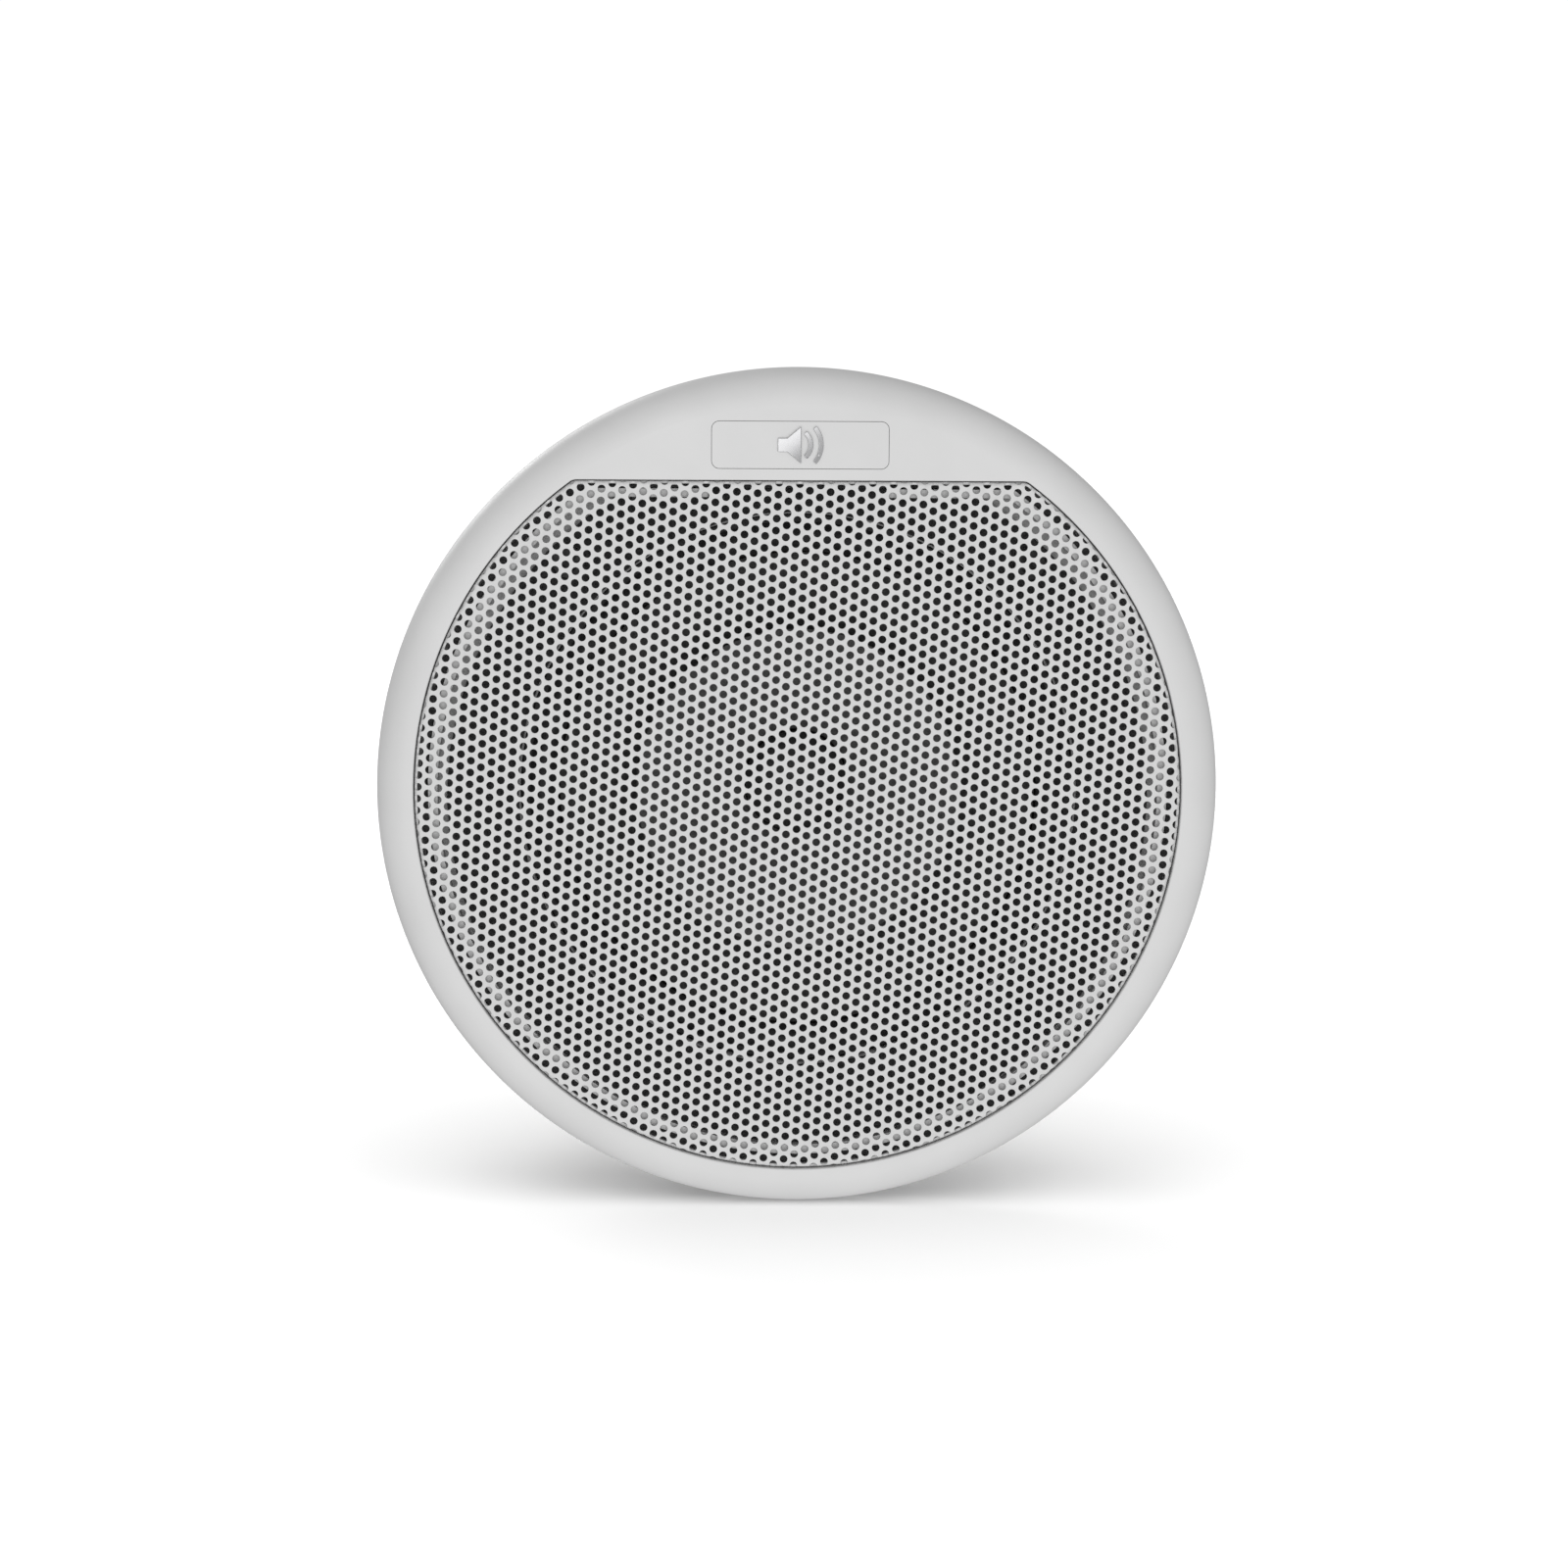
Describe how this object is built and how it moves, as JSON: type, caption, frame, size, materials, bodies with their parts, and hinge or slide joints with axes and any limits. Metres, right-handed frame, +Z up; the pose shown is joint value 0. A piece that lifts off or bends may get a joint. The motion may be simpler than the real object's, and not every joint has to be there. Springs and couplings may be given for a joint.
{
  "type": "flush-mount alarm loudspeaker",
  "caption": "Round white flush-mount alarm loudspeaker with a flat-topped perforated grille, a rimmed bezel, a cone driver and swing-out board clamps behind.",
  "frame": {"origin": "on the speaker's axis in the face of the board it is let into, at the back of the bezel and gasket", "axes": "+Z up towards the badge, -Y out of the board into the room, +X to the right as seen from the room"},
  "size_m": [0.214, 0.0949, 0.214],
  "materials": {
    "white_abs": "fine satin white moulded ABS",
    "grey_abs": "light grey moulded ABS",
    "coated_steel": "white powder coat on perforated steel",
    "badge_metal": "polished relief",
    "black_foam": "closed-cell foam",
    "black_steel": "black electrocoat",
    "cone_paper": "pressed pulp",
    "surround_rubber": "butyl rubber",
    "spider_cloth": "resin-stiffened cotton",
    "zinc_steel": "bright zinc plate",
    "ferrite": "sintered ferrite",
    "brass": "turned brass",
    "nylon": "glass-filled nylon",
    "ceramic": "steatite",
    "laminations": "varnished silicon-steel laminations",
    "coil_tape": "polyester tape",
    "copper": "enamelled copper",
    "phenolic": "phenolic paper board",
    "capacitor_sleeve": "shrink sleeve",
    "wire_red": "PVC insulation",
    "wire_black": "PVC insulation",
    "wire_white": "PVC insulation"
  },
  "bodies": {
    "root": {"bezel": "white_abs", "badge_plate": "white_abs", "badge_symbol": "badge_metal", "chassis": "grey_abs", "wall_gasket": "black_foam", "baffle_foam": "black_foam", "edge_seal": "black_foam", "driver_gasket": "black_foam", "basket": "black_steel", "surround": "surround_rubber", "spider": "spider_cloth", "top_plate": "zinc_steel", "magnet": "ferrite", "yoke": "zinc_steel", "equipment_bracket": "zinc_steel", "bracket_bolt": "zinc_steel", "transformer_core": "laminations", "transformer_coil": "coil_tape", "transformer_strap": "zinc_steel", "strap_screw": "zinc_steel", "terminal_block": "ceramic", "capacitor": "capacitor_sleeve", "tag_strip": "phenolic", "voice_wire_1": "wire_red", "voice_wire_2": "wire_black", "line_wire_1": "wire_white", "line_wire_2": "wire_black", "tinsel_lead_1": "copper", "tinsel_lead_2": "copper", "driver_screw_1": "zinc_steel", "terminal_screw_1": "brass", "driver_screw_2": "zinc_steel", "terminal_screw_2": "brass", "driver_screw_3": "zinc_steel", "terminal_screw_3": "brass", "driver_screw_4": "zinc_steel", "terminal_screw_4": "brass"},
    "diaphragm": {"cone": "cone_paper", "whizzer_cone": "cone_paper", "dust_cap": "cone_paper", "voice_coil": "copper"},
    "grille": {"grille": "coated_steel"},
    "clamp_screw_1": {"clamp_screw_1": "black_steel", "screw_clip_1": "black_steel"},
    "clamp_nut_1": {"clamp_nut_1": "brass"},
    "clamp_leg_1": {"clamp_leg_1": "nylon"},
    "clamp_screw_2": {"clamp_screw_2": "black_steel", "screw_clip_2": "black_steel"},
    "clamp_nut_2": {"clamp_nut_2": "brass"},
    "clamp_leg_2": {"clamp_leg_2": "nylon"},
    "clamp_screw_3": {"clamp_screw_3": "black_steel", "screw_clip_3": "black_steel"},
    "clamp_nut_3": {"clamp_nut_3": "brass"},
    "clamp_leg_3": {"clamp_leg_3": "nylon"},
    "clamp_screw_4": {"clamp_screw_4": "black_steel", "screw_clip_4": "black_steel"},
    "clamp_nut_4": {"clamp_nut_4": "brass"},
    "clamp_leg_4": {"clamp_leg_4": "nylon"}
  },
  "joints": [
    {"name": "grille_lift_off", "type": "slide", "parent": "root", "child": "grille", "axis": [0, -1, 0], "range_m": [0, 0.03]},
    {"name": "cone_stroke", "type": "slide", "parent": "root", "child": "diaphragm", "axis": [0, -1, 0], "range_m": [-0.0025, 0.0025], "stiffness_N_per_m": 2500, "deforming": ["surround", "spider", "tinsel_lead_1", "tinsel_lead_2"]},
    {"name": "clamp_screw_1_turn", "type": "hinge", "parent": "root", "child": "clamp_screw_1", "pos_m": [0.05798, 0, 0.05798], "axis": [0, 1, 0], "range_deg": [0, 6480]},
    {"name": "clamp_nut_1_travel", "type": "slide", "parent": "root", "child": "clamp_nut_1", "axis": [0, -1, 0], "range_m": [0, 0.036]},
    {"name": "clamp_leg_1_swing", "type": "hinge", "parent": "clamp_nut_1", "child": "clamp_leg_1", "pos_m": [0.05798, 0, 0.05798], "axis": [0, 1, 0], "range_deg": [0, 90]},
    {"name": "clamp_screw_2_turn", "type": "hinge", "parent": "root", "child": "clamp_screw_2", "pos_m": [-0.05798, 0, 0.05798], "axis": [0, 1, 0], "range_deg": [0, 6480]},
    {"name": "clamp_nut_2_travel", "type": "slide", "parent": "root", "child": "clamp_nut_2", "axis": [0, -1, 0], "range_m": [0, 0.036]},
    {"name": "clamp_leg_2_swing", "type": "hinge", "parent": "clamp_nut_2", "child": "clamp_leg_2", "pos_m": [-0.05798, 0, 0.05798], "axis": [0, 1, 0], "range_deg": [0, 90]},
    {"name": "clamp_screw_3_turn", "type": "hinge", "parent": "root", "child": "clamp_screw_3", "pos_m": [-0.05798, 0, -0.05798], "axis": [0, 1, 0], "range_deg": [0, 6480]},
    {"name": "clamp_nut_3_travel", "type": "slide", "parent": "root", "child": "clamp_nut_3", "axis": [0, -1, 0], "range_m": [0, 0.036]},
    {"name": "clamp_leg_3_swing", "type": "hinge", "parent": "clamp_nut_3", "child": "clamp_leg_3", "pos_m": [-0.05798, 0, -0.05798], "axis": [0, 1, 0], "range_deg": [0, 90]},
    {"name": "clamp_screw_4_turn", "type": "hinge", "parent": "root", "child": "clamp_screw_4", "pos_m": [0.05798, 0, -0.05798], "axis": [0, 1, 0], "range_deg": [0, 6480]},
    {"name": "clamp_nut_4_travel", "type": "slide", "parent": "root", "child": "clamp_nut_4", "axis": [0, -1, 0], "range_m": [0, 0.036]},
    {"name": "clamp_leg_4_swing", "type": "hinge", "parent": "clamp_nut_4", "child": "clamp_leg_4", "pos_m": [0.05798, 0, -0.05798], "axis": [0, 1, 0], "range_deg": [0, 90]}
  ],
  "couplings": [
    {"joint": "clamp_screw_1_turn", "follows": "clamp_nut_1_travel", "rad_per_m": 3141.5},
    {"joint": "clamp_screw_2_turn", "follows": "clamp_nut_2_travel", "rad_per_m": 3141.5},
    {"joint": "clamp_screw_3_turn", "follows": "clamp_nut_3_travel", "rad_per_m": 3141.5},
    {"joint": "clamp_screw_4_turn", "follows": "clamp_nut_4_travel", "rad_per_m": 3141.5}
  ]
}
